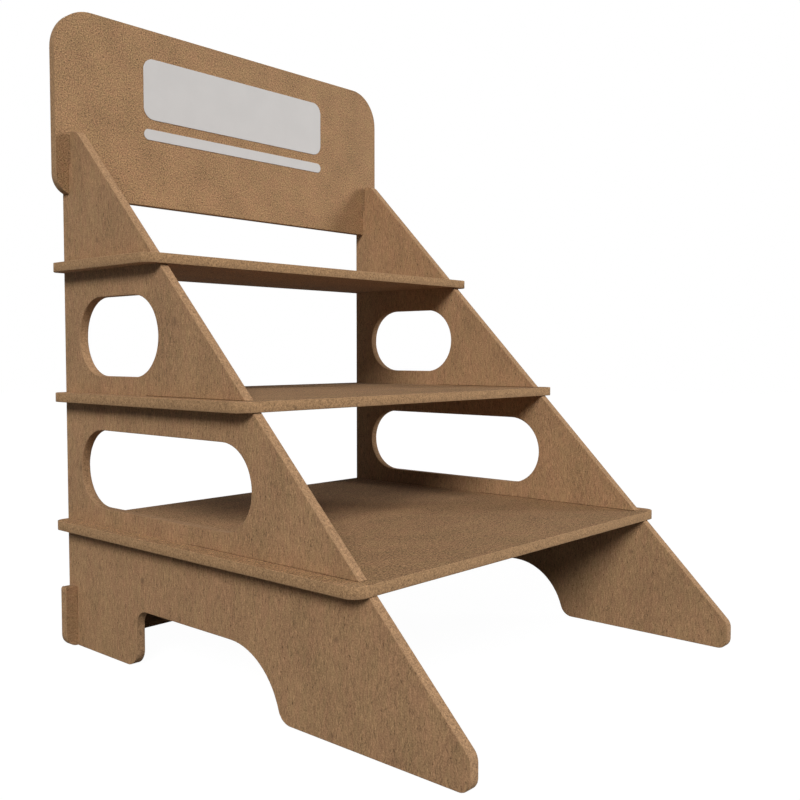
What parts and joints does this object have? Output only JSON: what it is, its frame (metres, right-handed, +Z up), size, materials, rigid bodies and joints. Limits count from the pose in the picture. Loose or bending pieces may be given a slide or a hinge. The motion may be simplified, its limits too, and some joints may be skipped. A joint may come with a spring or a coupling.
{
  "type": "tabletop display stand",
  "caption": "Slotted display stand of flat brown boards: slanted sides with rounded holes and an arched foot, stepped shelves, a tall rounded header and a low rear rail.",
  "frame": {"origin": "middle of the stand's footprint, on the surface that it rests on", "axes": "+X across the stand to the right as a shopper faces it, +Y to the rear, +Z up; the front faces -Y"},
  "size_m": [0.45, 0.5, 0.62],
  "materials": {
    "side_board": "matte",
    "shelf_board": "matte",
    "header_board": "matte",
    "rail_board": "matte"
  },
  "bodies": {
    "root": {"left_side_panel": "side_board", "right_side_panel": "side_board", "top_shelf": "shelf_board", "middle_shelf": "shelf_board", "bottom_shelf": "shelf_board", "header_panel": "header_board", "lower_back_panel": "rail_board"}
  },
  "joints": []
}
